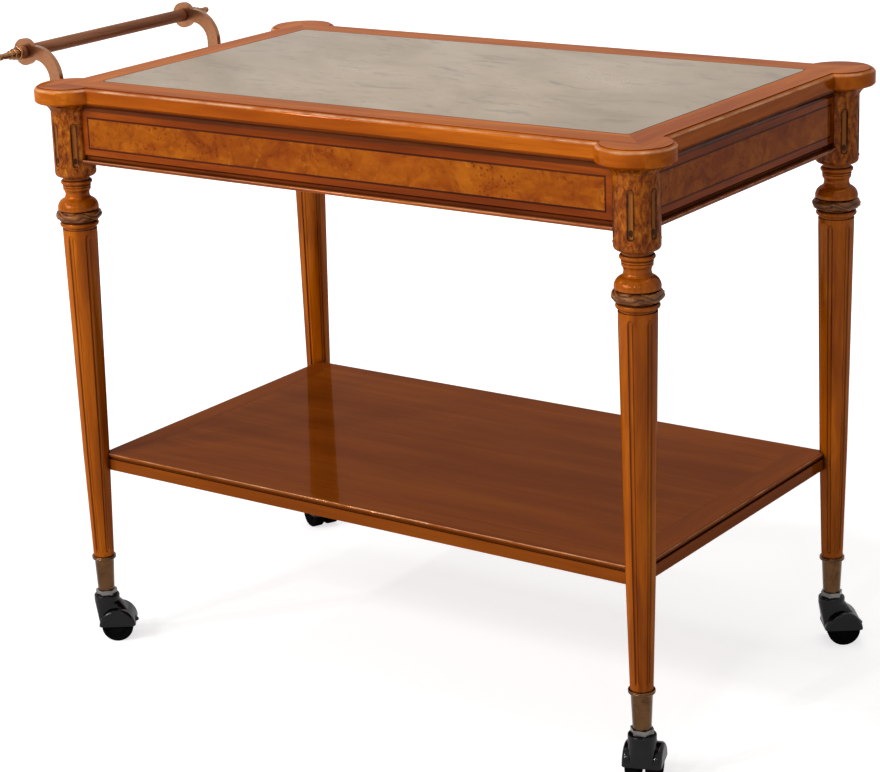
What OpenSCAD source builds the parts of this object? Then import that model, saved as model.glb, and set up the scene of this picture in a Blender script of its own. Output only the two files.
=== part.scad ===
// Trolley with a stone-topped frame on four turned and fluted legs, a lower shelf,
// hooded twin-wheel casters and a push bar carried by two metal arms.
// X runs along the trolley with the push bar at -X, Y runs to the back, Z is up
// and the floor is at Z = 0.

/* [Plan] */
// Distance between the leg axes along the trolley
leg_span_x = 810; // [560:5:1200]
// Distance between the leg axes across the trolley
leg_span_y = 474; // [400:2:700]

/* [Top] */
// Height of the top surface above the floor
top_height = 740; // [700:5:860]
// Thickness of the wooden top frame
frame_thick = 20.5; // [17:0.5:28]
// How far the straight edges stand outside the leg axes
top_overhang = 16; // [14:0.5:22]
// Radius of the round ear over each leg
ear_radius = 44.5; // [42:0.5:56]
// Radius of the hollow between an ear and the straight edge
ear_blend_radius = 12; // [6:1:18]
// Depth of the small step along the upper edge
edge_step_depth = 1; // [0.5:0.1:2]
// Width of that step
edge_step_width = 5.5; // [4.5:0.5:8]
// Radius of the upper edge, below the step
upper_edge_radius = 4; // [2:0.5:4]
// Bevel of the lower edge
lower_edge_bevel = 2; // [1:0.5:4]
// From the leg axes in to the ends of the stone
stone_inset_x = 27; // [22:1:40]
// From the leg axes in to the long sides of the stone
stone_inset_y = 30; // [22:1:40]
// Thickness of the stone
stone_thick = 10; // [6:0.5:12]
// Corner radius of the stone
stone_corner_radius = 8; // [4:1:16]
// Width of the dark line round the stone
stone_line_width = 1.6; // [1:0.2:3]
// How far the backing board runs under the frame
backing_lap = 10; // [6:1:14]

/* [Apron] */
// Height of the apron boards below the frame
apron_height = 72; // [66:1:90]
// How far the apron face stands outside the leg axes
apron_overhang = 8; // [4:0.5:10]
// Thickness of the apron boards
apron_thick = 20; // [16:1:22]
// Height of the cove under the frame
cove_height = 10; // [6:1:14]
// How far the cove stands out from the apron face
cove_depth = 6; // [3:0.5:7]
// Thickness of the lip above a cove
cove_lip = 1.5; // [1:0.5:2]
// Width of the plain border between the cove or quirk and the dark line
border_width = 7.5; // [6:0.5:14]
// Width of the plain border at the ends of the panel
border_end_width = 8; // [6:0.5:20]
// Width of the dark line round the burl panel
panel_line_width = 2; // [1:0.2:3]
// Depth of the burl panel and its dark line
inlay_depth = 1.5; // [1:0.1:3]
// Height of the quirk above the bottom bead
quirk_height = 6.5; // [4:0.5:8]
// Depth of the quirk
quirk_depth = 3.5; // [2:0.5:5]
// Thickness of the bottom bead
bead_thick = 4.6; // [3:0.2:6]
// How far the bottom bead stands outside the apron face
bead_reach = 4; // [2:0.5:6]
// Length of the tenons on the apron ends
tenon_length = 13; // [8:0.5:13]
// Thickness of the tenons
tenon_thick = 8; // [6:0.5:9]
// Height of the tenons
tenon_height = 44; // [30:1:50]

/* [Leg] */
// Radius of the fluted block
block_radius = 26; // [25:0.5:30]
// Length of the block from the frame down, with its cove
block_length = 95.5; // [90:0.5:120]
// How far the cove at the head of a leg stands out from the block
head_reach = 10; // [6:0.5:12]
// Height of the cove at the head of a leg
head_height = 13; // [10:0.5:16]
// Radius of the hollow of that cove
head_hollow_radius = 20; // [14:1:40]
// Radius round the foot of the block
block_foot_radius = 5; // [2:0.5:6]
// Plain length between the block and the bead under it
block_quirk = 4.6; // [2:0.2:6]
// Radius of the spigot that seats a leg in the frame
spigot_radius = 12; // [8:0.5:14]
// Length of the spigot
spigot_length = 10; // [6:0.5:12]
// Section radius of the bead under the block
upper_bead_section = 3; // [2.5:0.1:4]
// Radius out to the bead under the block
upper_bead_radius = 19.8; // [19:0.1:23]
// Section radius of the small bead over the neck
lower_bead_section = 1.7; // [1:0.1:3]
// Radius out to the small bead over the neck
lower_bead_radius = 17.8; // [17:0.1:21]
// Radius of the neck
neck_radius = 15.2; // [13:0.1:16.5]
// Length of the neck
neck_length = 17.2; // [12:0.2:20]
// Radius of the bulb
bulb_radius = 25.8; // [24:0.1:27]
// Section radius of the bulb
bulb_section = 12.5; // [11.5:0.1:15]
// From the foot of the neck down to the middle of the bulb
bulb_drop = 8.9; // [7.5:0.1:11]
// From the middle of the bulb down to the middle of the carved ring
bulb_to_ring = 9.5; // [8:0.1:12]
// Outer radius of the carved ring
ring_radius = 29.6; // [28.5:0.1:34]
// Height of the carved ring
ring_height = 16; // [12:0.5:18]
// Radius of the seat of the carved ring
ring_seat_radius = 21; // [18:0.5:22]
// Radius out to the collar bead under the ring
collar_radius = 24.5; // [23:0.5:27]
// Height of the collar bead
collar_height = 7; // [5:0.5:9]
// Radius at the head of the shaft
shaft_head_radius = 21.8; // [20:0.1:23]
// Radius of the shaft at the shelf
shaft_shelf_radius = 17; // [15:0.1:19]
// Radius at the foot of the shaft
shaft_foot_radius = 13.3; // [13:0.1:15]
// Radius of the gouge that cuts the flutes in the shaft
flute_gouge_radius = 3.2; // [2.5:0.1:4]
// Depth of the flutes in the shaft
flute_depth = 1.8; // [1:0.1:2.4]
// Number of flutes round the block and the shaft
flute_count = 6; // [4:1:8]
// Radius of the gouge that cuts the wider flutes in the block
block_gouge_radius = 5; // [3:0.1:6]
// Depth of the flutes in the block
block_flute_depth = 2.3; // [1:0.1:2.6]
// Length of the flutes in the block
block_flute_length = 55; // [30:1:60]

/* [Carved ring] */
// Number of strands in the section of the ring
strand_count = 4; // [3:1:5]
// Turns of the strands round the section, for each strand round the ring
strand_turns = 6; // [4:1:10]
// How far the strands stand out of the ring
strand_relief = 0.9; // [0.4:0.1:1.4]

/* [Shelf] */
// Height of the top of the shelf
shelf_height = 256; // [220:2:330]
// Thickness of the shelf
shelf_thick = 22; // [18:1:28]
// From the leg axes in to the edges of the shelf
shelf_inset = 5.5; // [3:0.5:10]
// Width of the mitred border
shelf_border_width = 36; // [34:1:60]
// Radius of the bead along the upper edge of the shelf
shelf_bead_radius = 2.6; // [2:0.1:4]
// Width of the groove under that bead
shelf_groove_width = 2.4; // [1:0.1:4]
// Radius of the dowels that hold the shelf to the legs
shelf_dowel_radius = 4; // [3:0.5:5]
// Length of the shelf dowels
shelf_dowel_length = 44; // [36:1:50]

/* [Ferrule] */
// Height of the ferrule
ferrule_height = 48; // [36:1:60]
// Radius of the ring at the head of the ferrule
ferrule_ring_radius = 15.7; // [15.5:0.1:18]
// Radius at the head of the cup
ferrule_head_radius = 12.7; // [12.5:0.1:13]
// Radius at the foot of the cup
ferrule_foot_radius = 10.8; // [10:0.1:12]
// Wall of the cup
ferrule_wall = 1.2; // [0.8:0.1:1.6]

/* [Caster] */
// Height of the foot of the ferrule above the floor
caster_height = 68; // [66:1:74]
// Radius of the wheels
wheel_radius = 20.5; // [18:0.5:24]
// Width of one wheel
wheel_width = 16.5; // [12:0.5:20]
// Radius of the tread edges
tread_edge_radius = 3; // [1:0.5:5]
// Distance from the swivel axis back to the axle
trail = 13; // [10:0.5:20]
// Thickness of the web between the wheels
web_thick = 6; // [5:0.5:9]
// Thickness of the hood
hood_wall = 2.2; // [1.5:0.1:3]
// Radius round the edges of the fender over the wheels
fender_edge_radius = 5; // [3:0.5:5]
// Radius of the collar of the hood
hood_collar_radius = 16.5; // [15:0.5:18]
// Height of the straight part of the collar
hood_collar_height = 9; // [6:0.5:9]
// How far the tail of the hood stands behind its arch
tail_reach = 3; // [1:0.5:5]
// Radius of the axle
axle_radius = 4; // [3:0.5:5]
// Radius of the pin on which the hood swivels
swivel_pin_radius = 5; // [4:0.5:6]
// Length of that pin inside the hood
swivel_pin_length = 11; // [8:0.5:11]
// Distance across the flats of the stem's hexagon
stem_hex_width = 24; // [19:1:24]
// Height of the stem's hexagon
stem_hex_height = 6.5; // [5:0.5:7]
// Radius of the stem inside the leg
stem_radius = 4; // [3:0.5:5]
// Length of the stem inside the leg
stem_length = 38; // [25:1:50]

/* [Push bar] */
// Distance from the leg axes in to each arm
arm_inset = 78; // [60:1:120]
// Thickness of the arms
arm_thick = 7; // [5:0.5:10]
// Width of the arms
arm_width = 18; // [14:1:20]
// Distance from the leg axes out to the upright part of the arms
arm_reach = 96; // [70:1:120]
// Height of the arm's foot below the top surface
arm_foot_drop = 58; // [54:1:62]
// Centre line radius of the lower bend
lower_bend_radius = 27; // [20:1:32]
// Centre line radius of the upper bend
upper_bend_radius = 34; // [20:1:40]
// Distance from the upright part out to the bar
bar_reach = 51.5; // [46:0.5:70]
// Height of the bar's axis above the top surface
bar_rise = 17.3; // [4:0.1:30]
// Radius of the eye at the end of each arm
eye_radius = 17.5; // [14:0.5:20]
// Radius of the wooden bar
bar_radius = 8.5; // [7:0.1:10]
// How far the bar runs past each arm
bar_overrun = 8; // [4:0.5:14]
// Length of the finials
finial_length = 39.5; // [25:0.5:50]
// Radius of the button at the tip of the finials
finial_tip_radius = 4.4; // [3:0.1:5]
// Radius of the round rosette at the foot of each arm
rosette_radius = 20; // [17:0.5:21]
// Thickness of the rosette
rosette_thick = 5; // [3:0.5:8]

/* [Fixings] */
// Gap left at glued and inlaid joints
joint_gap = 0.15; // [0.1:0.05:0.3]
// Running clearance of the wheels on their axles and the hoods on their pins
running_gap = 0.05; // [0.02:0.01:0.08]
// Gap between the hood and the wheels, and between the stem and the hood
hood_gap = 0.6; // [0.4:0.1:1]
// Radius of the dowels between the aprons and the frame
dowel_radius = 4; // [3:0.5:5]
// Length of those dowels
dowel_length = 24; // [16:1:28]
// Length of the glue blocks' sides
corner_block_side = 45; // [36:1:60]
// Height of the glue blocks
corner_block_height = 40; // [24:1:50]
// Radius of the bolts through the glue blocks and of the arms' bolts
bolt_radius = 3; // [2:0.5:3]

/* [Hidden] */
$fn = 72;

// How far the centre of an edge's round lies from both faces, as a share of its reach
edge_fullness = 1.57;

// Colours
wood_colour = [0.70, 0.36, 0.12];
burl_colour = [0.82, 0.46, 0.14];
bar_colour = [0.42, 0.19, 0.08];
line_colour = [0.14, 0.07, 0.04];
stone_colour = [0.72, 0.67, 0.58];
brass_colour = [0.74, 0.50, 0.30];
zinc_colour = [0.62, 0.62, 0.63];
plastic_colour = [0.07, 0.07, 0.08];
tyre_colour = [0.20, 0.20, 0.21];
blind_wood_colour = [0.80, 0.66, 0.45];

// Sides are numbered from the front towards +X: 0 front, 1 right, 2 back, 3 left
SIDES = [0 : 3];
// Legs are numbered the same way: leg n stands at the start of side n
LEGS = [0 : 3];
// Direction in which the tail of each caster points
tail_angles = [37, 110, 37, 155];

// How far a caster stands out along X from its leg, as its tail points
function caster_far(leg) = max(
    caster_reach * cos(tail_angles[leg]),
    trail * cos(tail_angles[leg]) + arch_radius * abs(cos(tail_angles[leg]))
        + (hood_half_width - fender_edge_radius / 4) * abs(sin(tail_angles[leg])));

// The arms reach out further than the ears and the casters at the other end, so the
// plan is shifted to put the middle of the whole trolley over the origin
arch_radius = wheel_radius + hood_gap * 2 + hood_wall;
caster_reach = trail + arch_radius + tail_reach;
well_width = wheel_width + 2 * hood_gap;
hood_half_width = web_thick / 2 + well_width + hood_wall;
far_left = leg_span_x / 2 + arm_reach + bar_reach + eye_radius;
far_right = leg_span_x / 2 + max(ear_radius, caster_far(1), caster_far(2));
plan_shift = (far_left - far_right) / 2;

// Heights
frame_foot = top_height - frame_thick;
apron_foot = frame_foot - apron_height;
stone_foot = top_height - stone_thick;
panel_top = frame_foot - cove_height - border_width;
panel_foot = apron_foot + quirk_height + border_width;
shelf_foot = shelf_height - shelf_thick;

// Heights along a leg, from the frame down
block_foot = frame_foot - block_length;
bead_quirk = 0.4;
upper_bead_mid = block_foot - block_quirk - upper_bead_section;
lower_bead_mid = upper_bead_mid - upper_bead_section - bead_quirk - lower_bead_section;
neck_top = lower_bead_mid - lower_bead_section;
neck_foot = neck_top - neck_length;
bulb_mid = neck_foot - bulb_drop;
ring_mid = bulb_mid - bulb_to_ring;
collar_mid = ring_mid - ring_height / 2 - collar_height / 2;
collar_quirk = 3;
shaft_head = collar_mid - collar_height / 2 - collar_quirk;
ferrule_ring_height = 5;
ferrule_top = caster_height + ferrule_height;
flute_end_margin = 9;

// Directions round a leg, counted from its outward diagonal
block_flute_angle = 180 / flute_count;
shaft_flute_angles = [-8, 22, -8, 22];
// Where the turned surface closes on itself, clear of the flutes
turning_seam = 23;

// Caster
hood_top = caster_height - stem_hex_height - hood_gap / 2;
skirt_foot = wheel_radius + 1;
axle_half_length = web_thick / 2 + hood_gap + wheel_width - 4;

// Push bar
arm_spread = leg_span_y / 2 - arm_inset;
arm_foot_z = top_height - arm_foot_drop;
arm_x = -leg_span_x / 2 - arm_reach;
bar_x = arm_x - bar_reach;
bar_z = top_height + bar_rise;
apron_end_x = -leg_span_x / 2 - apron_overhang;
arm_boss_radius = 9;
arm_boss_length = 12;

// ---- Placing ----

function side_distance(side) = side % 2 == 0 ? leg_span_y / 2 : leg_span_x / 2;
function side_length(side) = side % 2 == 0 ? leg_span_x : leg_span_y;
// Insets of the stone across a side and along it
function inset_across(side) = side % 2 == 0 ? stone_inset_y : stone_inset_x;
function inset_along(side) = side % 2 == 0 ? stone_inset_x : stone_inset_y;

// Puts what is drawn about the middle of the legs into the trolley's own frame
module in_place() {
    translate([plan_shift, 0, 0])
        children();
}

// Local frame of a side: X along it, -Y outward, origin on the line of the leg axes
module at_side(side) {
    rotate([0, 0, 90 * side])
        translate([0, -side_distance(side), 0])
            children();
}

// Local frame of a leg: Z up its axis, +X along the outward diagonal
module at_leg(leg) {
    at_side(leg)
        translate([-side_length(leg) / 2, 0, 0])
            rotate([0, 0, -135])
                children();
}

// The outward diagonals of the legs point at -135, -45, 45 and 135 degrees, so a
// caster's tail is turned back by that much
module at_caster(leg) {
    at_leg(leg)
        rotate([0, 0, tail_angles[leg] + 135 - 90 * leg])
            children();
}

// Turns a profile, with X outward and Y up, into a bar along a side
module along_side(length) {
    rotate([90, 0, 90])
        linear_extrude(height = length, center = true)
            mirror([1, 0])
                children();
}

// The waste outside a rounded corner whose arc is centred on the origin
module corner_waste(radius) {
    difference() {
        square(radius + 1);
        circle(radius);
    }
}

module rounded_plate(size_x, size_y, radius, thick) {
    linear_extrude(height = thick)
        union() {
            square([size_x - 2 * radius, size_y], center = true);
            square([size_x, size_y - 2 * radius], center = true);
            for (sx = [-1, 1], sy = [-1, 1])
                translate([sx * (size_x / 2 - radius), sy * (size_y / 2 - radius)])
                    circle(radius);
        }
}

// The waste at an outer edge whose corner is the origin. The round runs over its reach on both
// faces and is a little fuller than a quarter, so it meets each face in a fine arris
module edge_waste(reach) {
    inset = edge_fullness * reach;
    difference() {
        translate([-reach, -reach])
            square(reach + 1);
        translate([-inset, -inset])
            circle(sqrt(pow(inset, 2) + pow(inset - reach, 2)));
    }
}

// A plate of the stone's outline, grown by a margin
module stone_plate(margin, thick) {
    rounded_plate(leg_span_x - 2 * stone_inset_x + 2 * margin,
                  leg_span_y - 2 * stone_inset_y + 2 * margin,
                  stone_corner_radius + margin, thick);
}

// ---- Top frame ----

// Section of the frame at its edge: X from the edge inward is negative, Y down from the top
module frame_profile(depth) {
    difference() {
        translate([-depth, -frame_thick])
            square([depth, frame_thick]);
        translate([-edge_step_width, -edge_step_depth])
            square([edge_step_width + 1, edge_step_depth + 1]);
        translate([0, -edge_step_depth])
            edge_waste(upper_edge_radius);
        polygon([
            [-lower_edge_bevel, -frame_thick], [0, lower_edge_bevel - frame_thick],
            [1, lower_edge_bevel - frame_thick], [1, -frame_thick - 1],
            [-lower_edge_bevel, -frame_thick - 1]
        ]);
    }
}

module ear() {
    rotate_extrude()
        translate([ear_radius, 0])
            frame_profile(ear_radius);
}

// The hollow that leads a straight edge into an ear, beside the ear at +X. Its circle
// bites a little into both, so that the surfaces cross at an angle
module ear_blend() {
    bite = 0.8;
    depth = 14;
    extra = 14;
    rise = top_overhang + ear_blend_radius - bite;
    run = sqrt(pow(ear_radius + ear_blend_radius - bite, 2) - rise * rise);
    angle = atan2(rise, run);
    translate([-run, -rise, 0])
        rotate([0, 0, angle - extra])
            rotate_extrude(angle = 90 - angle + 2 * extra)
                translate([ear_blend_radius, 0])
                    mirror([1, 0])
                        frame_profile(depth);
}

// One rail with both ears, before the mitres and the openings are cut
module rail_blank(side) {
    width = top_overhang + inset_across(side) + backing_lap;
    translate([0, -top_overhang, 0])
        along_side(side_length(side))
            frame_profile(width);
    for (s = [-1, 1]) {
        translate([s * side_length(side) / 2, 0, 0])
            ear();
        mirror([(1 - s) / 2, 0, 0])
            translate([side_length(side) / 2, 0, 0])
                ear_blend();
    }
}

// Plan of one rail between its two mitres
module mitre_plan(side) {
    half = side_length(side) / 2;
    along = inset_along(side);
    across = inset_across(side);
    outer = 4;
    inner = 2;
    polygon([
        [-half - outer * along, -outer * across],
        [half + outer * along, -outer * across],
        [half - inner * along, inner * across],
        [-half + inner * along, inner * across]
    ]);
}

module top_rail(side) {
    color(wood_colour)
        in_place()
            difference() {
                at_side(side)
                    intersection() {
                        translate([0, 0, top_height])
                            rail_blank(side);
                        translate([0, 0, frame_foot - 1])
                            linear_extrude(height = frame_thick + 2)
                                mitre_plan(side);
                    }
                translate([0, 0, frame_foot - 1])
                    stone_plate(stone_line_width, frame_thick + 2);
                translate([0, 0, frame_foot - 1])
                    stone_plate(stone_line_width + backing_lap, frame_thick - stone_thick + 1);
                for (leg = LEGS)
                    at_leg(leg)
                        translate([0, 0, frame_foot - 1])
                            cylinder(r = spigot_radius + joint_gap, h = spigot_length + joint_gap + 1);
                at_side(side)
                    top_dowel_pair(joint_gap);
            }
}

module stone_panel() {
    color(stone_colour)
        in_place()
            translate([0, 0, stone_foot])
                stone_plate(-joint_gap, stone_thick);
}

module stone_line() {
    color(line_colour)
        in_place()
            translate([0, 0, stone_foot])
                difference() {
                    stone_plate(stone_line_width - joint_gap, stone_thick);
                    translate([0, 0, -1])
                        stone_plate(0, stone_thick + 2);
                }
}

module backing_board() {
    color(blind_wood_colour)
        in_place()
            translate([0, 0, frame_foot])
                stone_plate(stone_line_width + backing_lap - joint_gap, frame_thick - stone_thick);
}

// Two dowels that tie an apron to the frame
module top_dowel_pair(gap) {
    for (s = [-1, 1])
        translate([s * side_length(0) / 6, apron_thick / 2 - apron_overhang,
                   frame_foot - dowel_length / 2 - gap])
            cylinder(r = dowel_radius + gap, h = dowel_length + 2 * gap);
}

module top_dowels() {
    color(blind_wood_colour)
        in_place()
            for (side = SIDES)
                at_side(side)
                    top_dowel_pair(0);
}

// ---- Apron ----

// Length of the apron panel with its dark line
function panel_length(side) =
    side_length(side)
    - 2 * sqrt(block_radius * block_radius - apron_overhang * apron_overhang)
    - 2 * border_end_width;

// The leg blocks and heads at both ends of a side, grown by the joint gap
module leg_heads(side) {
    for (s = [-1, 1])
        translate([s * side_length(side) / 2, 0, 0])
            rotate_extrude()
                head_profile(joint_gap);
}

module apron(side) {
    color(wood_colour)
        in_place()
            at_side(side)
                difference() {
                    union() {
                        difference() {
                            translate([-side_length(side) / 2, -apron_overhang, apron_foot])
                                cube([side_length(side), apron_thick, apron_height]);
                            leg_heads(side);
                        }
                        for (s = [-1, 1])
                            translate([s * side_length(side) / 2, 0, 0])
                                rotate([0, 0, s > 0 ? 180 : 0])
                                    tenon(s, 0);
                    }
                    translate([0, -apron_overhang, apron_foot])
                        quirk(side);
                    panel_blank(side, 0, inlay_depth);
                    top_dowel_pair(joint_gap);
                    if (side == 3)
                        for (s = [-1, 1])
                            translate([s * arm_spread, 0, arm_foot_z])
                                arm_bolt_hole();
                }
}

// A tenon that points at the leg axis, or with a gap the mortise it fits
module tenon(s, gap) {
    mid = (apron_thick / 2 - apron_overhang) * (s > 0 ? -1 : 1);
    start = sqrt(block_radius * block_radius - pow(apron_overhang, 2)) - tenon_length;
    translate([start - gap, mid - tenon_thick / 2 - gap,
               (apron_foot + frame_foot - tenon_height) / 2 - gap])
        cube([tenon_length + 6, tenon_thick + 2 * gap, tenon_height + 2 * gap]);
}

// The hollow cut above the bottom bead
module quirk(side) {
    along_side(side_length(side))
        union() {
            translate([-quirk_depth, -1])
                square([quirk_depth + 1, quirk_height - quirk_depth + 1]);
            translate([0, quirk_height - quirk_depth])
                circle(quirk_depth);
        }
}

// Panel with its line, or the recess it fills
module panel_blank(side, margin, depth) {
    length = panel_length(side) - 2 * margin;
    translate([-length / 2, -apron_overhang - (margin > 0 ? 0 : 1), panel_foot + margin])
        cube([length, depth + (margin > 0 ? 0 : 1), panel_top - panel_foot - 2 * margin]);
}

module burl_panel(side) {
    color(burl_colour)
        in_place()
            at_side(side)
                difference() {
                    panel_blank(side, panel_line_width + joint_gap, inlay_depth);
                    if (side == 3)
                        for (s = [-1, 1])
                            translate([s * arm_spread, 0, arm_foot_z])
                                arm_bolt_hole();
                }
}

module panel_lines() {
    color(line_colour)
        in_place()
            for (side = SIDES)
                at_side(side)
                    difference() {
                        panel_blank(side, joint_gap, inlay_depth);
                        translate([0, -1, 0])
                            panel_blank(side, panel_line_width, inlay_depth + 2);
                    }
}

module cove_mouldings() {
    fall = cove_height - cove_lip;
    color(wood_colour)
        in_place()
            for (side = SIDES)
                at_side(side)
                    difference() {
                        translate([0, -apron_overhang, frame_foot])
                            along_side(side_length(side))
                                difference() {
                                    translate([0, -cove_height])
                                        square([cove_depth, cove_height]);
                                    translate([fall, -cove_height])
                                        circle(fall);
                                    translate([cove_depth - 0.4, -cove_height - 1])
                                        square([cove_depth, fall + 1]);
                                }
                        leg_heads(side);
                    }
}

module bead_mouldings() {
    nose = bead_thick / 2;
    color(wood_colour)
        in_place()
            for (side = SIDES)
                at_side(side)
                    difference() {
                        translate([0, -apron_overhang, apron_foot - bead_thick])
                            along_side(side_length(side))
                                union() {
                                    translate([-apron_thick + 2, 0])
                                        square([apron_thick - 2 + bead_reach - nose, bead_thick]);
                                    translate([bead_reach - nose, nose])
                                        circle(nose);
                                }
                        leg_heads(side);
                    }
}

// ---- Corner joints ----

module corner_blocks() {
    seat = apron_thick - apron_overhang;
    color(blind_wood_colour)
        in_place()
            for (leg = LEGS)
                at_leg(leg)
                    difference() {
                        rotate([0, 0, 135])
                            translate([0, 0, frame_foot - corner_block_height])
                                linear_extrude(height = corner_block_height)
                                    polygon([
                                        [seat, seat],
                                        [seat + corner_block_side, seat],
                                        [seat, seat + corner_block_side]
                                    ]);
                        rotate_extrude()
                            head_profile(joint_gap);
                        corner_bolt_path(joint_gap, 0, 80);
                    }
}

// Height and reach of the bolt that draws a leg into its corner
function corner_bolt_z() = frame_foot - corner_block_height / 2;
function corner_bolt_face() = (2 * (apron_thick - apron_overhang) + corner_block_side) / sqrt(2);

module corner_bolt_path(gap, from, to) {
    translate([-from, 0, corner_bolt_z()])
        rotate([0, -90, 0])
            cylinder(r = bolt_radius + gap, h = to - from);
}

module corner_bolts() {
    washer_radius = 9;
    washer_thick = 1.5;
    nut_radius = 6;
    nut_thick = 5;
    color(zinc_colour)
        in_place()
            for (leg = LEGS)
                at_leg(leg)
                    union() {
                        corner_bolt_path(0, 10, corner_bolt_face() + washer_thick + nut_thick + 2);
                        translate([-corner_bolt_face(), 0, corner_bolt_z()])
                            rotate([0, -90, 0])
                                cylinder(r = washer_radius, h = washer_thick);
                        translate([-corner_bolt_face() - washer_thick + 0.1, 0, corner_bolt_z()])
                            rotate([0, -90, 0])
                                cylinder(r = nut_radius, h = nut_thick, $fn = 6);
                    }
}

// ---- Legs ----

// Half section of the block and its head, with the spigot left off
module head_profile(gap) {
    bite = 0.4;
    run = head_reach + bite;
    fall = head_height - cove_lip;
    chord = norm([run, fall]);
    away = sqrt(pow(head_hollow_radius, 2) - pow(chord / 2, 2)) / chord;
    union() {
        translate([0, block_foot])
            square([block_radius + gap, block_length]);
        difference() {
            translate([0, frame_foot - head_height - gap])
                square([block_radius + head_reach + gap, head_height + gap]);
            translate([block_radius - bite + gap + run / 2 + fall * away,
                       frame_foot - head_height - gap + fall / 2 - run * away])
                circle(head_hollow_radius);
        }
    }
}

// Half section of the turning between the block and the shaft, hollowed for the ring
module turning_profile() {
    difference() {
        turning_blank();
        translate([ring_seat_radius, ring_mid])
            circle(ring_radius - ring_seat_radius + joint_gap);
    }
    translate([0, collar_mid])
        square([ring_seat_radius, bulb_mid - collar_mid]);
}

module turning_blank() {
    neck_quirk = 0.4;
    union() {
        translate([0, lower_bead_mid])
            square([upper_bead_radius - upper_bead_section, block_foot - lower_bead_mid + 1]);
        translate([upper_bead_radius - upper_bead_section, upper_bead_mid])
            circle(upper_bead_section);
        translate([lower_bead_radius - lower_bead_section, lower_bead_mid])
            circle(lower_bead_section);
        difference() {
            translate([0, neck_foot - 1])
                square([lower_bead_radius - neck_quirk, neck_length + 1]);
            translate([neck_radius + neck_length / 2, neck_foot + neck_length / 2])
                circle(neck_length / 2);
            translate([neck_radius + neck_length / 2, neck_foot + neck_length / 2])
                square([neck_length, neck_length + 2]);
        }
        translate([0, neck_top - 0.5])
            square([lower_bead_radius - lower_bead_section, lower_bead_section + 1]);
        intersection() {
            translate([bulb_radius - bulb_section, bulb_mid])
                circle(bulb_section);
            translate([0, ring_mid])
                square([bulb_radius + 1, 2 * bulb_section + 20]);
        }
        translate([0, ring_mid])
            square([bulb_radius - bulb_section, neck_foot - ring_mid]);
        translate([collar_radius - collar_height / 2, collar_mid])
            circle(collar_height / 2);
        translate([0, collar_mid - collar_height / 2])
            square([collar_radius - collar_height / 2, collar_height]);
        translate([0, shaft_head - 1])
            square([shaft_head_radius - 1.5, collar_quirk + 2]);
    }
}

// The shaft in two tapers that meet at the shelf, with the tip that the ferrule covers
module shaft_profile(gap) {
    tip_gap = ferrule_wall + joint_gap;
    polygon([
        [0, shaft_head],
        [shaft_head_radius + gap, shaft_head],
        [shaft_shelf_radius + gap, shelf_height],
        [shaft_foot_radius + gap, ferrule_top],
        [ferrule_head_radius - tip_gap + gap, ferrule_top],
        [ferrule_foot_radius - tip_gap + gap, caster_height + tip_gap],
        [0, caster_height + tip_gap]
    ]);
}

// A round-ended gouge cut between two points of the leg's surface
module flute_cut(gouge, depth, radius_top, z_top, radius_foot, z_foot) {
    out = gouge - depth;
    lean = atan2(radius_top - radius_foot, z_top - z_foot);
    length = norm([radius_top - radius_foot, z_top - z_foot]);
    translate([radius_foot + out, 0, z_foot]) {
        rotate([0, lean, 0])
            cylinder(r = gouge, h = length);
        sphere(gouge);
    }
    translate([radius_top + out, 0, z_top])
        sphere(gouge);
}

function shaft_radius(z) =
    z > shelf_height
    ? shaft_shelf_radius + (shaft_head_radius - shaft_shelf_radius)
        * (z - shelf_height) / (shaft_head - shelf_height)
    : shaft_foot_radius + (shaft_shelf_radius - shaft_foot_radius)
        * (z - ferrule_top) / (shelf_height - ferrule_top);

module leg(index) {
    block_flute_mid = block_foot + (block_length - head_height) / 2;
    block_flute_half = block_flute_length / 2 - block_gouge_radius;
    drop_radius = 0.6 * flute_gouge_radius;
    shaft_flute_top = shaft_head - flute_end_margin;
    shaft_flute_foot = ferrule_top + flute_end_margin;
    color(wood_colour)
        in_place()
            at_leg(index)
                difference() {
                    union() {
                        rotate([0, 0, shaft_flute_angles[index] + turning_seam])
                            rotate_extrude()
                            union() {
                                difference() {
                                    head_profile(0);
                                    translate([block_radius - block_foot_radius,
                                               block_foot + block_foot_radius])
                                        mirror([0, 1])
                                            corner_waste(block_foot_radius);
                                }
                                turning_profile();
                                shaft_profile(0);
                            }
                        translate([0, 0, frame_foot - 1])
                            cylinder(r = spigot_radius, h = spigot_length + 1);
                        for (k = [0 : flute_count - 1])
                            rotate([0, 0, block_flute_angle + 360 / flute_count * k])
                                translate([block_radius - 0.6, 0,
                                           block_flute_mid - block_flute_length / 2
                                           - flute_gouge_radius])
                                    sphere(drop_radius);
                    }
                    for (k = [0 : flute_count - 1]) {
                        rotate([0, 0, block_flute_angle + 360 / flute_count * k])
                            flute_cut(block_gouge_radius, block_flute_depth,
                                      block_radius, block_flute_mid + block_flute_half,
                                      block_radius, block_flute_mid - block_flute_half);
                        rotate([0, 0, shaft_flute_angles[index] + 360 / flute_count * k]) {
                            flute_cut(flute_gouge_radius, flute_depth,
                                      shaft_radius(shaft_flute_top), shaft_flute_top,
                                      shaft_shelf_radius, shelf_height);
                            flute_cut(flute_gouge_radius, flute_depth,
                                      shaft_shelf_radius, shelf_height,
                                      shaft_radius(shaft_flute_foot), shaft_flute_foot);
                        }
                    }
                    rotate([0, 0, 135])
                        tenon(-1, joint_gap);
                    rotate([0, 0, -135])
                        tenon(1, joint_gap);
                    corner_bolt_path(joint_gap, 10 - joint_gap, 80);
                    shelf_dowel(joint_gap);
                    translate([0, 0, caster_height])
                        cylinder(r = stem_radius + joint_gap, h = stem_length + 2);
                }
}

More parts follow.
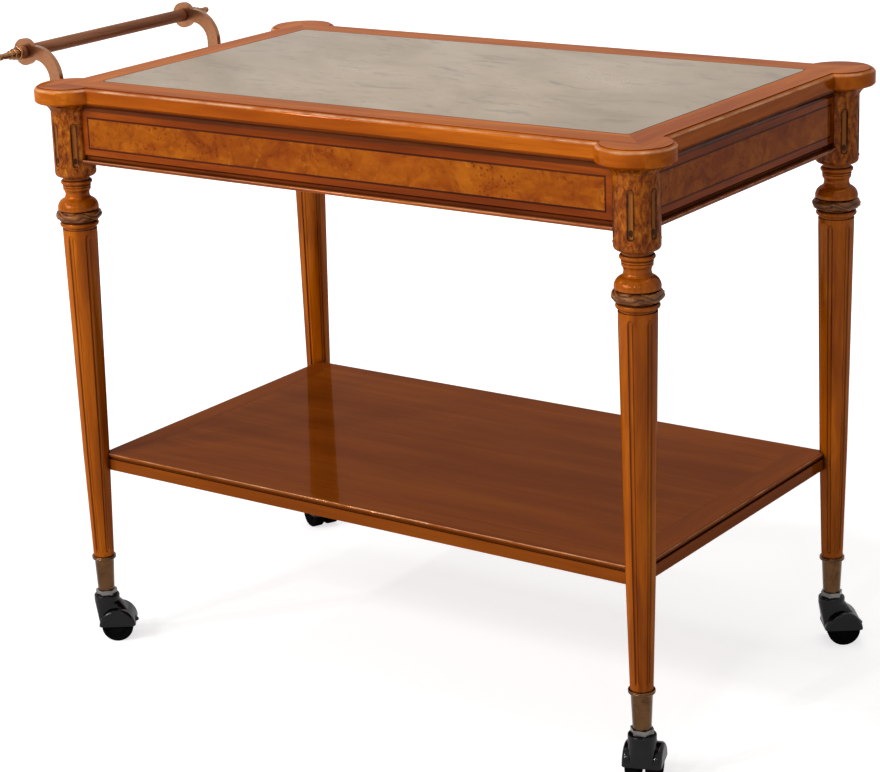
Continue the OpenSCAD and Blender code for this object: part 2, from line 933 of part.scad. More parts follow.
// Point on the carved ring: turn runs round the leg and spin round the section
function ring_point(turn, spin) =
    let (
        rise = ring_height / 2 - strand_relief,
        depth = ring_radius - ring_seat_radius - strand_relief,
        fade = sqrt(max(0, cos(spin))),
        swell = strand_relief * fade * cos(strand_count * spin - strand_turns * turn),
        reach = max(ring_seat_radius + joint_gap, ring_seat_radius + (depth + swell) * cos(spin))
    )
    [reach * cos(turn), reach * sin(turn), ring_mid + (rise + swell) * sin(spin)];

module carved_ring() {
    steps = 48;
    spins = 16;
    polyhedron(
        points = [
            for (i = [0 : steps - 1], j = [0 : spins - 1])
                ring_point(i * 360 / steps, j * 360 / spins)
        ],
        faces = [
            for (i = [0 : steps - 1], j = [0 : spins - 1], half = [0, 1])
                let (
                    a = i * spins + j,
                    b = i * spins + (j + 1) % spins,
                    c = ((i + 1) % steps) * spins + (j + 1) % spins,
                    d = ((i + 1) % steps) * spins + j
                )
                half == 0 ? [a, b, c] : [a, c, d]
        ]
    );
}

module carved_rings() {
    color(wood_colour)
        in_place()
            for (leg = LEGS)
                at_leg(leg)
                    carved_ring();
}

module ferrule(index) {
    upper_section = ferrule_ring_height / 4;
    lower_section = ferrule_ring_height / 3;
    top = ferrule_top - joint_gap;
    color(brass_colour)
        in_place()
            at_leg(index)
                difference() {
                    rotate_extrude()
                        difference() {
                            union() {
                                polygon([
                                    [0, caster_height],
                                    [ferrule_foot_radius, caster_height],
                                    [ferrule_head_radius, top - ferrule_ring_height],
                                    [ferrule_ring_radius - lower_section, top - ferrule_ring_height],
                                    [ferrule_ring_radius - lower_section, top],
                                    [0, top]
                                ]);
                                translate([ferrule_ring_radius - lower_section, top - 2 * upper_section])
                                    square([lower_section - upper_section, 2 * upper_section]);
                                translate([ferrule_ring_radius - upper_section, top - upper_section])
                                    circle(upper_section);
                                translate([ferrule_ring_radius - lower_section,
                                           top - ferrule_ring_height + lower_section])
                                    circle(lower_section);
                            }
                            polygon([
                                [-1, caster_height + ferrule_wall],
                                [ferrule_foot_radius - ferrule_wall, caster_height + ferrule_wall],
                                [ferrule_head_radius - ferrule_wall, ferrule_top],
                                [-1, ferrule_top]
                            ]);
                        }
                    translate([0, 0, caster_height - 1])
                        cylinder(r = stem_radius + joint_gap, h = ferrule_wall + 2);
                }
}

// ---- Shelf ----

// Section of the shelf's edge, drawn like that of the frame
module shelf_profile() {
    bead_mid = -shelf_bead_radius;
    difference() {
        union() {
            translate([-shelf_border_width, -shelf_thick])
                square([shelf_border_width - shelf_bead_radius, shelf_thick]);
            translate([-shelf_bead_radius, bead_mid])
                circle(shelf_bead_radius);
            translate([-2 * shelf_bead_radius, -shelf_thick])
                square([2 * shelf_bead_radius,
                        shelf_thick - 2 * shelf_bead_radius - shelf_groove_width]);
        }
        translate([0, -2 * shelf_bead_radius - shelf_groove_width / 2])
            circle(shelf_groove_width / 2);
    }
}

// The legs where they pass the shelf, grown by the joint gap
module leg_shafts() {
    for (leg = LEGS)
        at_leg(leg)
            rotate_extrude()
                shaft_profile(joint_gap);
}

// A dowel that runs from inside the leg into the corner of the shelf
module shelf_dowel(gap) {
    buried = 12;
    translate([buried - shaft_shelf_radius + gap, 0, shelf_height - shelf_thick / 2])
        rotate([0, -90, 0])
            cylinder(r = shelf_dowel_radius + gap, h = shelf_dowel_length + 2 * gap);
}

module shelf_border(side) {
    half = side_length(side) / 2 - shelf_inset;
    color(wood_colour)
        in_place()
            difference() {
                at_side(side)
                    intersection() {
                        translate([0, shelf_inset, shelf_height])
                            along_side(2 * half)
                                shelf_profile();
                        translate([0, shelf_inset, shelf_foot - 1])
                            linear_extrude(height = shelf_thick + 2)
                                polygon([
                                    [-half - 1, -1],
                                    [half + 1, -1],
                                    [half - 2 * shelf_border_width, 2 * shelf_border_width],
                                    [-half + 2 * shelf_border_width, 2 * shelf_border_width]
                                ]);
                    }
                leg_shafts();
                for (leg = LEGS)
                    at_leg(leg)
                        shelf_dowel(joint_gap);
            }
}

module shelf_panel() {
    margin = shelf_inset + shelf_border_width + joint_gap;
    size_x = leg_span_x - 2 * margin;
    size_y = leg_span_y - 2 * margin;
    color(wood_colour)
        in_place()
            difference() {
                translate([-size_x / 2, -size_y / 2, shelf_foot])
                    cube([size_x, size_y, shelf_thick]);
                for (leg = LEGS)
                    at_leg(leg)
                        shelf_dowel(joint_gap);
            }
}

module shelf_dowels() {
    color(blind_wood_colour)
        in_place()
            for (leg = LEGS)
                at_leg(leg)
                    shelf_dowel(0);
}

// ---- Push bar ----

// A quarter bend in the arm: X and Y give the quarter it lies in
module bend(radius, quarter_x, quarter_y) {
    outer = radius + arm_width / 2;
    intersection() {
        difference() {
            circle(outer);
            circle(radius - arm_width / 2);
        }
        translate([quarter_x < 0 ? -outer - 1 : 0, quarter_y < 0 ? -outer - 1 : 0])
            square(outer + 1);
    }
}

// Outline of an arm, drawn in the XZ plane
module arm_outline() {
    half = arm_width / 2;
    upright_foot = arm_foot_z + lower_bend_radius;
    upright_top = bar_z - upper_bend_radius;
    union() {
        translate([arm_x + lower_bend_radius, arm_foot_z - half])
            square([apron_end_x - rosette_thick - arm_boss_length / 2 - arm_x - lower_bend_radius,
                    arm_width]);
        translate([arm_x + lower_bend_radius, upright_foot])
            bend(lower_bend_radius, -1, -1);
        translate([arm_x - half, upright_foot])
            square([arm_width, upright_top - upright_foot]);
        translate([arm_x - upper_bend_radius, upright_top])
            bend(upper_bend_radius, 1, 1);
        translate([bar_x, bar_z - half])
            square([bar_reach - upper_bend_radius, arm_width]);
        translate([bar_x, bar_z])
            circle(eye_radius);
    }
}

module handle_arm(s) {
    color(brass_colour)
        in_place()
            translate([0, s * arm_spread, 0])
                difference() {
                    union() {
                        rotate([90, 0, 0])
                            linear_extrude(height = arm_thick, center = true)
                                arm_outline();
                        translate([apron_end_x - rosette_thick - arm_boss_length, 0, arm_foot_z])
                            rotate([0, 90, 0])
                                cylinder(r = arm_boss_radius, h = arm_boss_length);
                    }
                    translate([bar_x, 0, bar_z])
                        rotate([90, 0, 0])
                            cylinder(r = bar_radius + joint_gap, h = arm_thick + 2, center = true);
                    translate([apron_end_x - rosette_thick - arm_boss_length + 2, 0, arm_foot_z])
                        rotate([0, 90, 0])
                            cylinder(r = bolt_radius + joint_gap, h = arm_boss_length);
                }
}

module handle_rosettes() {
    rim = 2;
    color(brass_colour)
        in_place()
            for (s = [-1, 1])
                translate([apron_end_x, s * arm_spread, arm_foot_z])
                    rotate([0, -90, 0])
                        rotate_extrude()
                            difference() {
                                union() {
                                    translate([bolt_radius + joint_gap, 0])
                                        square([rosette_radius - rim - bolt_radius - joint_gap,
                                                rosette_thick]);
                                    translate([rosette_radius - rim, 0])
                                        square([rim, rosette_thick - rim]);
                                    translate([rosette_radius - rim, rosette_thick - rim])
                                        circle(rim);
                                }
                                translate([rosette_radius - rim - 3, rosette_thick])
                                    circle(1.2);
                                translate([0, -2])
                                    square([rosette_radius + 1, 2]);
                            }
}

// Hole for an arm's bolt, in the local frame of the left side
module arm_bolt_hole() {
    rotate([90, 0, 0])
        cylinder(r = bolt_radius + joint_gap, h = 80, center = true);
}

module handle_bolts() {
    head_radius = 6;
    head_thick = 4;
    inner_face = apron_end_x + apron_thick;
    color(zinc_colour)
        in_place()
            for (s = [-1, 1])
                translate([0, s * arm_spread, arm_foot_z])
                    union() {
                        translate([apron_end_x - rosette_thick - arm_boss_length + 3, 0, 0])
                            rotate([0, 90, 0])
                                cylinder(r = bolt_radius,
                                         h = arm_boss_length + rosette_thick + apron_thick - 3 + 1);
                        translate([inner_face, 0, 0])
                            rotate([0, 90, 0])
                                cylinder(r = head_radius, h = head_thick);
                    }
}

function bar_half_length() = arm_spread + arm_thick / 2 + bar_overrun;
finial_pin_radius = 2.5;
finial_pin_length = 14;

module handle_bar() {
    color(bar_colour)
        in_place()
            translate([bar_x, 0, bar_z])
                rotate([90, 0, 0])
                    difference() {
                        cylinder(r = bar_radius, h = 2 * bar_half_length(), center = true);
                        for (s = [-1, 1])
                            translate([0, 0, s * bar_half_length()])
                                cylinder(r = finial_pin_radius + joint_gap,
                                         h = 2 * (finial_pin_length + joint_gap), center = true);
                    }
}

// Half section of a finial: Y runs from the bar out to the tip
module finial_profile() {
    body_length = finial_length - finial_tip_radius;
    union() {
        square([bar_radius - 1.5, 5]);
        translate([bar_radius - 1.5, 2.5])
            circle(2.5);
        polygon([
            [0, 5],
            [bar_radius - 2.2, 5],
            [finial_tip_radius * 0.75, body_length],
            [0, body_length]
        ]);
        for (ring = [0 : 2])
            translate([bar_radius - 2.8 - ring * 1.3, 11 + ring * 7])
                circle(1.9 - ring * 0.3);
        intersection() {
            translate([0, body_length])
                circle(finial_tip_radius);
            square([finial_tip_radius, finial_length]);
        }
        translate([0, -finial_pin_length])
            square([finial_pin_radius, finial_pin_length + 1]);
    }
}

module finial(s) {
    color(brass_colour)
        in_place()
            translate([bar_x, s * bar_half_length(), bar_z])
                rotate([-90 * s, 0, 0])
                    rotate_extrude()
                        finial_profile();
}

// ---- Casters ----

module caster_stems() {
    foot = hood_top - swivel_pin_length;
    color(zinc_colour)
        in_place()
            for (leg = LEGS)
                at_leg(leg)
                    union() {
                        translate([0, 0, foot])
                            cylinder(r = swivel_pin_radius, h = caster_height - foot);
                        translate([0, 0, caster_height - stem_hex_height])
                            cylinder(r = stem_hex_width / sqrt(3), h = stem_hex_height, $fn = 6);
                        translate([0, 0, caster_height - 1])
                            cylinder(r = stem_radius, h = stem_length + 1);
                    }
}

// Half section of the fender over the wheels, with Y along the axle
module fender_profile() {
    difference() {
        translate([0, -hood_half_width])
            square([arch_radius, 2 * hood_half_width]);
        for (s = [-1, 1])
            mirror([0, (1 - s) / 2])
                translate([arch_radius - fender_edge_radius, hood_half_width - fender_edge_radius])
                    corner_waste(fender_edge_radius);
    }
}

// Outer form of a hood: a round collar on a neck that runs down into the rounded fender,
// with a small lug at the tail
module hood_skin() {
    collar_foot = hood_top - hood_collar_height;
    neck_half_width = 13;
    neck_inset = 1.2;
    lug_radius = 1.5;
    lug_half_width = 5;
    difference() {
        union() {
            hull() {
                translate([0, 0, collar_foot])
                    cylinder(r = hood_collar_radius, h = 1, $fn = 32);
                translate([trail, 0, wheel_radius])
                    rotate([90, 0, 0])
                        cylinder(r = arch_radius - neck_inset, h = 2 * neck_half_width,
                                 center = true, $fn = 40);
            }
            hull() {
                translate([caster_reach - lug_radius, 0, skirt_foot + lug_radius])
                    sphere(lug_radius, $fn = 16);
                translate([trail, 0, wheel_radius])
                    rotate([90, 0, 0])
                        cylinder(r = arch_radius - neck_inset, h = 2 * lug_half_width,
                                 center = true, $fn = 40);
            }
            translate([trail, 0, wheel_radius])
                rotate([90, 0, 0])
                    rotate_extrude()
                        fender_profile();
            rotate_extrude()
                difference() {
                    translate([0, collar_foot])
                        square([hood_collar_radius, hood_collar_height]);
                    translate([hood_collar_radius - 2, hood_top - 2])
                        corner_waste(2);
                }
        }
        translate([-200, -200, skirt_foot - 200])
            cube([400, 400, 200]);
    }
}

module caster_hood(index) {
    web_reach = axle_radius + 5;
    color(plastic_colour)
        in_place()
            at_caster(index)
                difference() {
                    union() {
                        difference() {
                            hood_skin();
                            for (s = [-1, 1])
                                translate([trail, s * (web_thick / 2 + well_width / 2), wheel_radius])
                                    rotate([90, 0, 0])
                                        cylinder(r = wheel_radius + 2 * hood_gap, h = well_width,
                                                 center = true);
                        }
                        translate([trail, 0, wheel_radius])
                            rotate([90, 0, 0])
                                cylinder(r = web_reach, h = web_thick, center = true);
                    }
                    translate([0, 0, hood_top - swivel_pin_length - 1])
                        cylinder(r = swivel_pin_radius + running_gap, h = swivel_pin_length + 2);
                    translate([trail, 0, wheel_radius])
                        rotate([90, 0, 0])
                            cylinder(r = axle_radius + running_gap / 2, h = web_thick + 2,
                                     center = true);
                }
}

module caster_axle(index) {
    color(zinc_colour)
        in_place()
            at_caster(index)
                translate([trail, 0, wheel_radius])
                    rotate([90, 0, 0])
                        cylinder(r = axle_radius, h = 2 * axle_half_length, center = true);
}

// Half section of a wheel, with Y from its inner face out
module wheel_profile() {
    hub_radius = axle_radius + 5;
    dish = 1.6;
    difference() {
        translate([axle_radius + running_gap, 0])
            square([wheel_radius - axle_radius - running_gap, wheel_width]);
        translate([wheel_radius - tread_edge_radius, wheel_width - tread_edge_radius])
            corner_waste(tread_edge_radius);
        translate([wheel_radius - tread_edge_radius, tread_edge_radius])
            mirror([0, 1])
                corner_waste(tread_edge_radius);
        translate([hub_radius, -1])
            square([wheel_radius - 5 - hub_radius, wheel_width - 4]);
        translate([hub_radius, wheel_width - dish])
            square([wheel_radius - 5 - hub_radius, dish + 1]);
    }
}

module wheel(index, s) {
    color(tyre_colour)
        in_place()
            at_caster(index)
                translate([trail, s * (web_thick / 2 + hood_gap), wheel_radius])
                    rotate([-90 * s, 0, 0])
                        union() {
                            rotate_extrude()
                                wheel_profile();
                            translate([0, 0, wheel_width - 3])
                                cylinder(r = axle_radius + 2, h = 3);
                        }
}

// ---- Nodes ----

top_rail(0);  // top_rail_front
top_rail(1);  // top_rail_right
top_rail(2);  // top_rail_back
top_rail(3);  // top_rail_left
stone_panel();
stone_line();
backing_board();
apron(0);  // apron_front
apron(1);  // apron_right
apron(2);  // apron_back
apron(3);  // apron_left
burl_panel(0);  // burl_panel_front
burl_panel(1);  // burl_panel_right
burl_panel(2);  // burl_panel_back
burl_panel(3);  // burl_panel_left
panel_lines();
cove_mouldings();
bead_mouldings();
corner_blocks();
corner_bolts();
top_dowels();
leg(0);  // leg_front_left
leg(1);  // leg_front_right
leg(2);  // leg_back_right
leg(3);  // leg_back_left
carved_rings();
ferrule(0);  // ferrule_front_left
ferrule(1);  // ferrule_front_right
ferrule(2);  // ferrule_back_right
ferrule(3);  // ferrule_back_left
shelf_panel();
shelf_border(0);  // shelf_border_front
shelf_border(1);  // shelf_border_right
shelf_border(2);  // shelf_border_back
shelf_border(3);  // shelf_border_left
shelf_dowels();
handle_arm(-1);  // handle_arm_front
handle_arm(1);  // handle_arm_back
handle_rosettes();
handle_bolts();
handle_bar();
finial(-1);  // finial_front
finial(1);  // finial_back
caster_stems();
caster_hood(0);  // caster_hood_front_left
caster_hood(1);  // caster_hood_front_right
caster_hood(2);  // caster_hood_back_right
caster_hood(3);  // caster_hood_back_left
caster_axle(0);  // caster_axle_front_left
caster_axle(1);  // caster_axle_front_right
caster_axle(2);  // caster_axle_back_right
caster_axle(3);  // caster_axle_back_left
wheel(0, -1);  // wheel_front_left_a
wheel(0, 1);  // wheel_front_left_b
wheel(1, -1);  // wheel_front_right_a
wheel(1, 1);  // wheel_front_right_b
wheel(2, -1);  // wheel_back_right_a
wheel(2, 1);  // wheel_back_right_b
wheel(3, -1);  // wheel_back_left_a
wheel(3, 1);  // wheel_back_left_b
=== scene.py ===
import math

import bpy
from mathutils import Matrix, Vector


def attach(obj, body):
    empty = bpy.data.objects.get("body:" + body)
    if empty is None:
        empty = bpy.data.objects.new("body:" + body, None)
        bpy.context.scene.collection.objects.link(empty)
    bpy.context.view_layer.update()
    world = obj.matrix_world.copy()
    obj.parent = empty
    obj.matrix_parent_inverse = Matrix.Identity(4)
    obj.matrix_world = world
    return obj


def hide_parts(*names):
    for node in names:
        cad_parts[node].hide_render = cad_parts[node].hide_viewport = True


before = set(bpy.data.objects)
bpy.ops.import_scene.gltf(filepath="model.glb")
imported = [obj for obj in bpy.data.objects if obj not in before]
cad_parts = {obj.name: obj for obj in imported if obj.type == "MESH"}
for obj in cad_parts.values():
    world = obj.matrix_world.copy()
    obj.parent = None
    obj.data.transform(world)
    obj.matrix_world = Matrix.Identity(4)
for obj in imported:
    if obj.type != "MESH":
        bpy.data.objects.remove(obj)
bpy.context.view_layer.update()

MM = 0.001
X, Y, Z = 0, 1, 2
WHITE = (1, 1, 1, 1)

# Size of the photo, in pixels
WIDTH, HEIGHT = 880, 772

# Plan of the legs in the CAD, in mm, and the names of legs and sides in its order
LEG_SPAN_X, LEG_SPAN_Y = 810.0, 474.0
PLAN_SHIFT = 60.25
LEG_CENTRES = tuple(
    (PLAN_SHIFT + end * LEG_SPAN_X / 2, face * LEG_SPAN_Y / 2)
    for end, face in ((-1, -1), (1, -1), (1, 1), (-1, 1))
)
LEG_NAMES = ("front_left", "front_right", "back_right", "back_left")
SIDE_NAMES = ("front", "right", "back", "left")


# ---- Small helpers ----

def srgb(r, g, b):
    """A colour written as 0 to 255 screen values, as Blender's linear colour."""
    def one(v):
        v /= 255
        return v / 12.92 if v <= 0.04045 else ((v + 0.055) / 1.055) ** 2.4
    return (one(r), one(g), one(b), 1.0)


def stretch(axis, along, across):
    """Scale for a grain that runs along one axis."""
    return tuple(along if i == axis else across for i in range(3))


class Tree:
    """Short calls for adding nodes to one node tree."""

    def __init__(self, tree):
        self.nodes, self.links = tree.nodes, tree.links
        self.nodes.clear()

    def add(self, kind, **values):
        node = self.nodes.new(kind)
        for key, value in values.items():
            setattr(node, key, value)
        return node

    def feed(self, socket, value):
        """Links a socket, or gives it a plain value."""
        if isinstance(value, bpy.types.NodeSocket):
            self.links.new(value, socket)
        else:
            socket.default_value = value

    def maths(self, operation, a, b=0.0, clamp=False):
        node = self.add("ShaderNodeMath", operation=operation, use_clamp=clamp)
        self.feed(node.inputs[0], a)
        self.feed(node.inputs[1], b)
        return node.outputs[0]

    def seen_rays(self):
        """1 for rays of the camera, of reflections and through clear parts, 0 for diffuse light."""
        rays = self.add("ShaderNodeLightPath").outputs
        seen = self.maths("MAXIMUM", rays["Is Camera Ray"], rays["Is Glossy Ray"])
        return self.maths("MAXIMUM", seen, rays["Is Transmission Ray"])


class Graph(Tree):
    """Short calls for building one material's nodes."""

    def __init__(self, name):
        self.material = bpy.data.materials.new(name)
        self.material.use_nodes = True
        super().__init__(self.material.node_tree)
        self.out = self.add("ShaderNodeOutputMaterial")
        self.shader = self.add("ShaderNodeBsdfPrincipled")
        self.links.new(self.shader.outputs[0], self.out.inputs[0])
        self.coord = self.add("ShaderNodeTexCoord").outputs["Object"]

    def set(self, **values):
        """Feeds inputs of the Principled node, written with _ for each space in their names."""
        for key, value in values.items():
            self.feed(self.shader.inputs[key.replace("_", " ")], value)

    def axis_value(self, axis, vector=None):
        node = self.add("ShaderNodeSeparateXYZ")
        self.feed(node.inputs[0], vector or self.coord)
        return node.outputs[axis]

    def mapped(self, scale, location=(0, 0, 0), rotation=(0, 0, 0), vector=None):
        node = self.add("ShaderNodeMapping")
        self.feed(node.inputs["Vector"], vector or self.coord)
        node.inputs["Scale"].default_value = scale
        node.inputs["Location"].default_value = location
        node.inputs["Rotation"].default_value = rotation
        return node.outputs[0]

    def warped(self, vector, scale, amount):
        """The vector pushed about by a soft noise."""
        noise = self.add("ShaderNodeTexNoise")
        self.feed(noise.inputs["Vector"], vector)
        noise.inputs["Scale"].default_value = scale
        noise.inputs["Detail"].default_value = 3.0
        shift = self.add("ShaderNodeVectorMath", operation="SUBTRACT")
        self.feed(shift.inputs[0], noise.outputs["Color"])
        shift.inputs[1].default_value = (0.5, 0.5, 0.5)
        grown = self.add("ShaderNodeVectorMath", operation="SCALE")
        self.feed(grown.inputs[0], shift.outputs[0])
        grown.inputs["Scale"].default_value = amount
        total = self.add("ShaderNodeVectorMath", operation="ADD")
        self.feed(total.inputs[0], vector)
        self.feed(total.inputs[1], grown.outputs[0])
        return total.outputs[0]

    def noise(self, vector, scale, detail=4.0, roughness=0.55, distortion=0.0):
        node = self.add("ShaderNodeTexNoise")
        self.feed(node.inputs["Vector"], vector)
        node.inputs["Scale"].default_value = scale
        node.inputs["Detail"].default_value = detail
        node.inputs["Roughness"].default_value = roughness
        node.inputs["Distortion"].default_value = distortion
        return node.outputs["Fac"]

    def grained(self, vector, scales, detail=4.0, roughness=0.55, distortion=0.0,
                location=(0, 0, 0)):
        """Noise with a scale of its own along each axis."""
        drawn = self.mapped(scales, location=location, vector=vector)
        return self.noise(drawn, 1.0, detail, roughness, distortion)

    def spots(self, vector, scale):
        """Distance from the nearest of many scattered points."""
        node = self.add("ShaderNodeTexVoronoi")
        self.feed(node.inputs["Vector"], vector)
        node.inputs["Scale"].default_value = scale
        node.inputs["Randomness"].default_value = 1.0
        return node.outputs["Distance"]

    def ramp(self, factor, *stops, smooth=False):
        """stops are (position, value or colour)."""
        node = self.add("ShaderNodeValToRGB")
        ramp = node.color_ramp
        ramp.interpolation = "EASE" if smooth else "LINEAR"
        while len(ramp.elements) < len(stops):
            ramp.elements.new(0.5)
        for element, (place, value) in zip(ramp.elements, stops):
            element.position = place
            element.color = value if hasattr(value, "__len__") else (value, value, value, 1)
        self.feed(node.inputs[0], factor)
        return node.outputs[0]

    def mix(self, factor, a, b):
        node = self.add("ShaderNodeMix", data_type="RGBA", blend_type="MIX")
        self.feed(node.inputs["Factor"], factor)
        self.feed(node.inputs[6], a)
        self.feed(node.inputs[7], b)
        return node.outputs[2]

    def over(self, colour, top, factor, *stops, smooth=False):
        """The colour with another laid over it, as far as the ramp of a factor says."""
        return self.mix(self.ramp(factor, *stops, smooth=smooth), colour, top)

    def in_recess(self, colour, dark, amount, distance, low=0.35, high=0.9):
        """The colour with another laid into its corners and grooves by occlusion: painted shade on
        the woods, tarnish on the metals and dust on the plastics.
        """
        node = self.add("ShaderNodeAmbientOcclusion", samples=6, only_local=False)
        node.inputs["Distance"].default_value = distance
        open_share = self.ramp(node.outputs["AO"], (low, 0.0), (high, 1.0), smooth=True)
        shade = self.maths("MULTIPLY", self.maths("SUBTRACT", 1.0, open_share), amount)
        return self.mix(shade, colour, dark)

    def bump(self, height, strength, distance):
        node = self.add("ShaderNodeBump")
        node.inputs["Strength"].default_value = strength
        node.inputs["Distance"].default_value = distance
        self.feed(node.inputs["Height"], height)
        return node.outputs[0]

    def band(self, value, low, high, soft):
        """1 between low and high, with soft edges."""
        over_low = self.maths("SUBTRACT", value, low - soft / 2)
        under_high = self.maths("SUBTRACT", high + soft / 2, value)
        rise = self.maths("DIVIDE", over_low, soft, clamp=True)
        fall = self.maths("DIVIDE", under_high, soft, clamp=True)
        return self.maths("MULTIPLY", rise, fall)

    def facing_up(self, low, high, soft):
        """1 where the surface leans up between two values of its normal's height."""
        normal = self.add("ShaderNodeNewGeometry").outputs["Normal"]
        return self.band(self.axis_value(Z, normal), low, high, soft)


# ---- Varnished wood ----

# Dark brown of the flecks in the wood, and of the painted shade in its recesses
FLECK_AND_SHADE_BROWN = srgb(38, 18, 8)
# Pale colour of the painted highlight along upper arrises
ARRIS_HIGHLIGHT = srgb(244, 192, 150)

# Refractive index of the coat: weak on flat parts, full on turned and carved ones
FLAT_INDEX, TURNED_INDEX = 1.28, 1.5


def varnish(g, weight=0.24, roughness=0.05, sheen=0.09, index=FLAT_INDEX):
    """A thin clear coat for the sharp lights over a warm sheen from the stained wood itself."""
    g.set(Metallic=sheen, Roughness=0.12, Specular_IOR_Level=0.0,
          Specular_Tint=(1.0, 0.55, 0.25, 1.0),
          Coat_Weight=weight, Coat_Roughness=roughness, Coat_IOR=index)


def add_varnish_bump(g, fibre, strength=0.12, waves=0.14):
    """Fine fibres under the varnish, and the slow waves of a hand-rubbed coat on it."""
    g.set(Normal=g.bump(fibre, strength, 0.0004))
    g.set(Coat_Normal=g.bump(g.noise(g.coord, 48.0, 2.0), waves, 0.0014))


def wood(name, axis, light, middle, dark, recess_shade=0.8, coat=0.22, shift=(0, 0, 0),
         recess_size=0.007, coat_roughness=0.05, wear_and_highlight=0.0, waves=0.14):
    """Varnished cherry: soft figure, fine fibres, dark flecks and painted shade in the recesses.

    The grain runs along the axis, shift moves its figure, recess_shade is how dark the painted
    shade in the recesses is, wear_and_highlight is how strong the painted highlight on the upper
    arrises is, and waves is how far the coat bends what it reflects.
    """
    g = Graph(name)
    bent = g.warped(g.mapped((1, 1, 1), location=shift), 3.0, 0.035)
    figure = g.grained(bent, stretch(axis, 2.2, 26), 3.0)
    streak = g.grained(bent, stretch(axis, 5, 150), 4.0, 0.6)
    fibre = g.grained(bent, stretch(axis, 26, 900), 2.0)
    fleck = g.spots(g.mapped(stretch(axis, 90, 620), vector=bent), 1.0)
    colour = g.ramp(figure, (0.32, dark), (0.5, middle), (0.68, light))
    colour = g.over(colour, dark, streak, (0.42, 0.0), (0.66, 0.55))
    colour = g.over(colour, dark, fibre, (0.35, 0.22), (0.6, 0.0))
    colour = g.over(colour, FLECK_AND_SHADE_BROWN, fleck, (0.05, 0.5), (0.13, 0.0))
    # Painted shade: a dark brown laid into corners and grooves by occlusion
    colour = g.in_recess(colour, FLECK_AND_SHADE_BROWN, recess_shade, recess_size)
    # Painted highlight: a pale line, broken by noise, along arrises that lean up
    if wear_and_highlight:
        broken = g.ramp(g.grained(g.coord, stretch(axis, 30, 90)), (0.38, 0.25), (0.62, 1.0))
        highlight_mask = g.maths("MULTIPLY", g.facing_up(0.52, 0.80, 0.2), broken)
        colour = g.mix(g.maths("MULTIPLY", highlight_mask, wear_and_highlight), colour, ARRIS_HIGHLIGHT)
    g.set(Base_Color=colour)
    varnish(g, coat, coat_roughness)
    add_varnish_bump(g, fibre, waves=waves)
    return g.material


def burl(name, light, middle, dark, shift):
    """Burl veneer: swirling figure with clusters of small reddish eyes."""
    g = Graph(name)
    base = g.mapped((1, 1, 1), location=shift)
    bent = g.warped(base, 9.0, 0.05)
    swirl = g.grained(bent, (14, 14, 24), 5.0, 0.62, 1.2)
    fine = g.grained(bent, (80, 80, 150), 4.0, 0.6, 0.8)
    colour = g.ramp(swirl, (0.30, dark), (0.47, middle), (0.66, light))
    colour = g.over(colour, dark, fine, (0.45, 0.0), (0.68, 0.4))
    blotch = g.grained(g.warped(base, 30.0, 0.02), (60, 60, 46), 5.0, 0.66, 0.6)
    colour = g.over(colour, srgb(122, 46, 8), blotch, (0.53, 0.0), (0.68, 0.6), smooth=True)
    colour = g.over(colour, srgb(196, 116, 26), blotch, (0.30, 0.5), (0.44, 0.0), smooth=True)
    eyes = g.ramp(g.spots(g.warped(g.coord, 90.0, 0.006), 150.0),
                  (0.10, 1.0), (0.36, 0.0), smooth=True)
    clusters = g.ramp(g.grained(base, (17, 17, 11), 3.0), (0.47, 0.0), (0.62, 1.0), smooth=True)
    knots = g.maths("MULTIPLY", g.maths("MULTIPLY", eyes, clusters), 0.75)
    colour = g.mix(knots, colour, srgb(104, 32, 6))
    curl = g.noise(g.warped(base, 26.0, 0.03), 48.0, 4.0, 0.6, 2.0)
    colour = g.over(colour, srgb(118, 46, 6), curl, (0.54, 0.0), (0.70, 0.3), smooth=True)
    cloud = g.noise(base, 7.0, 2.0)
    colour = g.over(colour, srgb(150, 62, 14), cloud, (0.45, 0.0), (0.75, 0.3), smooth=True)
    # Painted shade laid into the corners and grooves by occlusion
    g.set(Base_Color=g.in_recess(colour, FLECK_AND_SHADE_BROWN, 0.55, 0.005))
    varnish(g, 0.18)
    add_varnish_bump(g, fine, 0.06)
    return g.material


# ---- Legs ----

# Turns of the flutes in degrees, and radii and heights on the leg in metres
FLUTES = 6
BLOCK_FLUTE_TURN = (15.0, 45.0, 15.0, 45.0)
SHAFT_FLUTE_TURN = 37.0
BLOCK_RADIUS, SHAFT_RADIUS = 0.026, 0.018
BLOCK_FLUTE_RUN = (0.6425, 0.6900)
DRILLED_RUN = (0.6450, 0.6475)
SHAFT_FLUTE_RUN = (0.126, 0.546)
FLUTE_HALF_WIDTH = 0.0026
FLUTE_RIM = (0.0028, 0.0044)
SHAFT_RIM = (0.0016, 0.0030)
BURL_FOOT = ((0.622, 0.0), (0.626, 0.92))
BULB_COAT = ((0.556, 0.12), (0.560, 0.17), (0.624, 0.17), (0.634, 0.12))

# Lower end of a band of distances that has none
NO_LOWER = -1.0

# Dark brown of the painted shade along the flutes' rims and of the dot painted for a drilled hole;
# the pale brown is the flutes' plain wood
RIM_SHADE = srgb(44, 18, 6)
GROOVE_COLOUR = srgb(150, 88, 30)
DRILLED_HOLE_SHADE = srgb(40, 16, 6)


